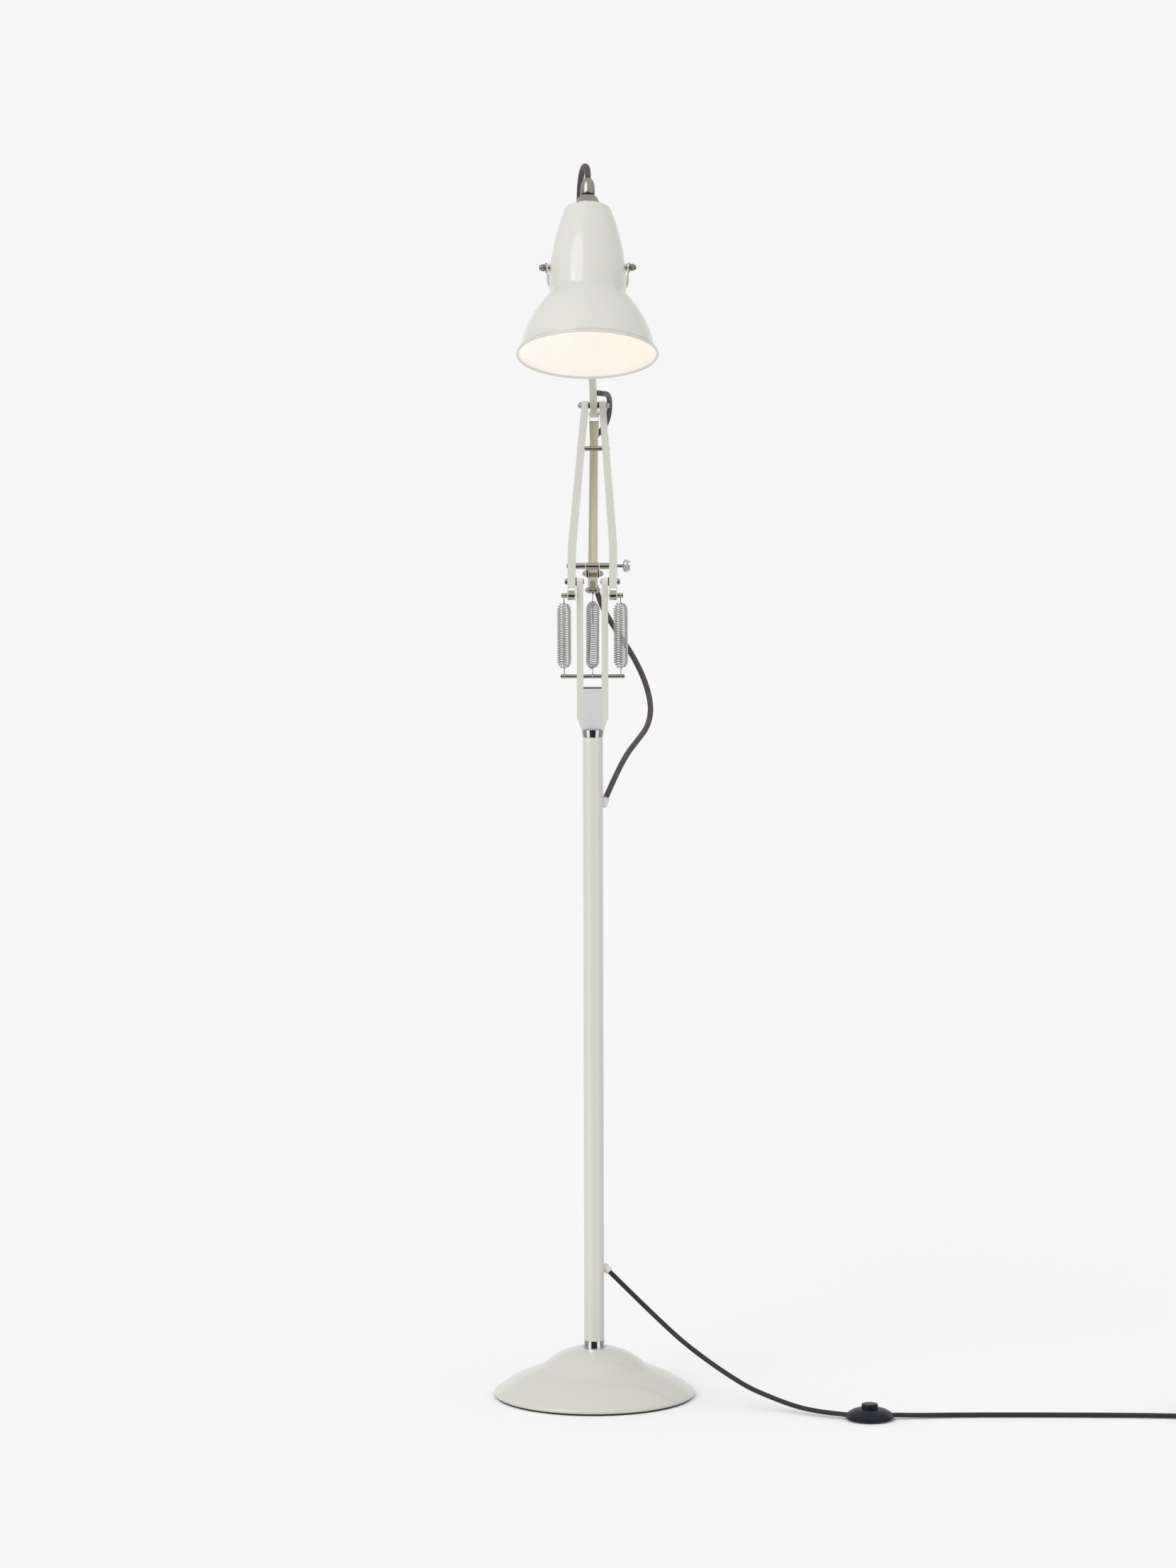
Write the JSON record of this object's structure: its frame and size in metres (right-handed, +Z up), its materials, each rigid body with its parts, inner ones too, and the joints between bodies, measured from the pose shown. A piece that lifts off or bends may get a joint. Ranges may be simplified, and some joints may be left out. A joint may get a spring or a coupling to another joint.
{
  "type": "adjustable arm floor lamp",
  "caption": "Floor lamp with a weighted round base, tall stem, spring-balanced folding arms and a tilting bell shade in a yoke.",
  "frame": {"origin": "centre of the base's underside, on the floor", "axes": "+Z up along the stem; -Y is the front, where the shade hangs; +X is the side with the clamp knob and the mains lead"},
  "size_m": [0.9776, 0.6354, 1.5573],
  "materials": {
    "body_paint": "gloss cream paint on steel",
    "shade_paint": "gloss cream paint on spun aluminium, white inside",
    "base_rubber": "matt",
    "base_iron": "as cast",
    "chrome_trim": "polished chrome plate",
    "plated_steel": "bright nickel plate",
    "spring_steel": "bright drawn wire",
    "dark_nylon": "moulded",
    "grommet_rubber": "matt",
    "holder_resin": "moulded",
    "bulb_glass": "frosted",
    "bulb_metal": "threaded",
    "cable_grey": "satin sheath",
    "lead_dark": "satin sheath",
    "plug_moulding": "moulded",
    "switch_moulding": "satin moulding"
  },
  "bodies": {
    "root": {"base_shell": "body_paint", "base_pad": "base_rubber", "base_weight": "base_iron", "base_collar": "chrome_trim", "stem_tube": "body_paint", "stem_plug": "plated_steel", "stem_collar": "chrome_trim", "stem_bush": "dark_nylon", "stem_grommets": "grommet_rubber", "lower_cable": "cable_grey", "mains_lead": "lead_dark", "mains_coil": "lead_dark", "mains_plug": "plug_moulding", "foot_switch_base": "switch_moulding", "foot_switch_cover": "switch_moulding"},
    "switch_button": {"foot_switch_button": "switch_moulding"},
    "fork": {"fork": "body_paint", "fork_spindle": "plated_steel", "name_plate": "chrome_trim", "spring_bar": "plated_steel", "main_pivot_bolts": "plated_steel", "main_pivot_washers": "dark_nylon", "outer_springs": "spring_steel", "centre_spring": "spring_steel"},
    "lower_arm": {"lower_arm_left": "body_paint", "lower_arm_right": "body_paint", "spring_barrels": "plated_steel", "spring_studs": "plated_steel", "clamp_sleeves": "plated_steel", "clamp_axle": "plated_steel", "spacer_rod": "plated_steel", "elbow_axle": "plated_steel", "elbow_nuts": "plated_steel", "elbow_washers": "dark_nylon"},
    "clamp_knob": {"clamp_knob": "chrome_trim"},
    "rocker": {"rocker_cheeks": "body_paint", "rocker_bush": "plated_steel", "rocker_pin": "plated_steel", "rocker_nuts": "plated_steel", "rocker_washers": "dark_nylon"},
    "link": {"tension_link": "body_paint", "link_pin": "plated_steel", "spring_hook_pin": "plated_steel", "hook_pin_nuts": "plated_steel", "link_cable": "cable_grey"},
    "upper_arm": {"upper_arm": "body_paint", "arm_socket": "plated_steel", "elbow_cable": "cable_grey"},
    "yoke": {"shade_yoke": "body_paint", "yoke_spindle": "plated_steel"},
    "shade": {"shade": "shade_paint", "shade_pivot_bolts": "plated_steel", "shade_pivot_nuts": "plated_steel", "shade_pivot_spacers": "plated_steel", "lampholder": "holder_resin", "lampholder_flange": "chrome_trim", "cord_grip": "chrome_trim", "bulb_glass": "bulb_glass", "bulb_cap": "bulb_metal", "head_cable": "cable_grey"}
  },
  "joints": [
    {"name": "mast_swivel", "type": "hinge", "parent": "root", "child": "fork", "pos_m": [0, 0, 0.8631], "axis": [0, 0, 1], "range_deg": [-150, 150]},
    {"name": "lower_arm_tilt", "type": "hinge", "parent": "fork", "child": "lower_arm", "pos_m": [0, 0, 1.0527], "axis": [1, 0, 0], "range_deg": [-25, 45], "deforming": ["outer_springs", "centre_spring", "lower_cable"]},
    {"name": "upper_arm_tilt", "type": "hinge", "parent": "lower_arm", "child": "upper_arm", "pos_m": [0, 0.16232, 1.28452], "axis": [1, 0, 0], "range_deg": [-35, 45], "deforming": ["elbow_cable"]},
    {"name": "rocker_turn", "type": "hinge", "parent": "lower_arm", "child": "rocker", "pos_m": [0, 0.014, 1.07269], "axis": [1, 0, 0], "range_deg": [-35, 45]},
    {"name": "link_turn", "type": "hinge", "parent": "upper_arm", "child": "link", "pos_m": [0, 0.198, 1.27474], "axis": [1, 0, 0], "range_deg": [-45, 35]},
    {"name": "yoke_swivel", "type": "hinge", "parent": "upper_arm", "child": "yoke", "pos_m": [0, -0.25443, 1.39876], "axis": [0, -0.9644, 0.2644], "range_deg": [-60, 60]},
    {"name": "shade_tilt", "type": "hinge", "parent": "yoke", "child": "shade", "pos_m": [0, -0.32, 1.4285], "axis": [1, 0, 0], "range_deg": [-55, 22], "deforming": ["head_cable"]},
    {"name": "clamp_turn", "type": "hinge", "parent": "lower_arm", "child": "clamp_knob", "pos_m": [0.0437, 0.014, 1.07269], "axis": [1, 0, 0], "range_deg": [-90, 270]},
    {"name": "switch_press", "type": "slide", "parent": "root", "child": "switch_button", "axis": [0, 0, -1], "range_m": [0, 0.003], "stiffness_N_per_m": 400, "springref_m": -0.002}
  ],
  "couplings": [
    {"joint": "rocker_turn", "follows": "upper_arm_tilt", "ratio": 1},
    {"joint": "link_turn", "follows": "upper_arm_tilt", "ratio": -1}
  ]
}
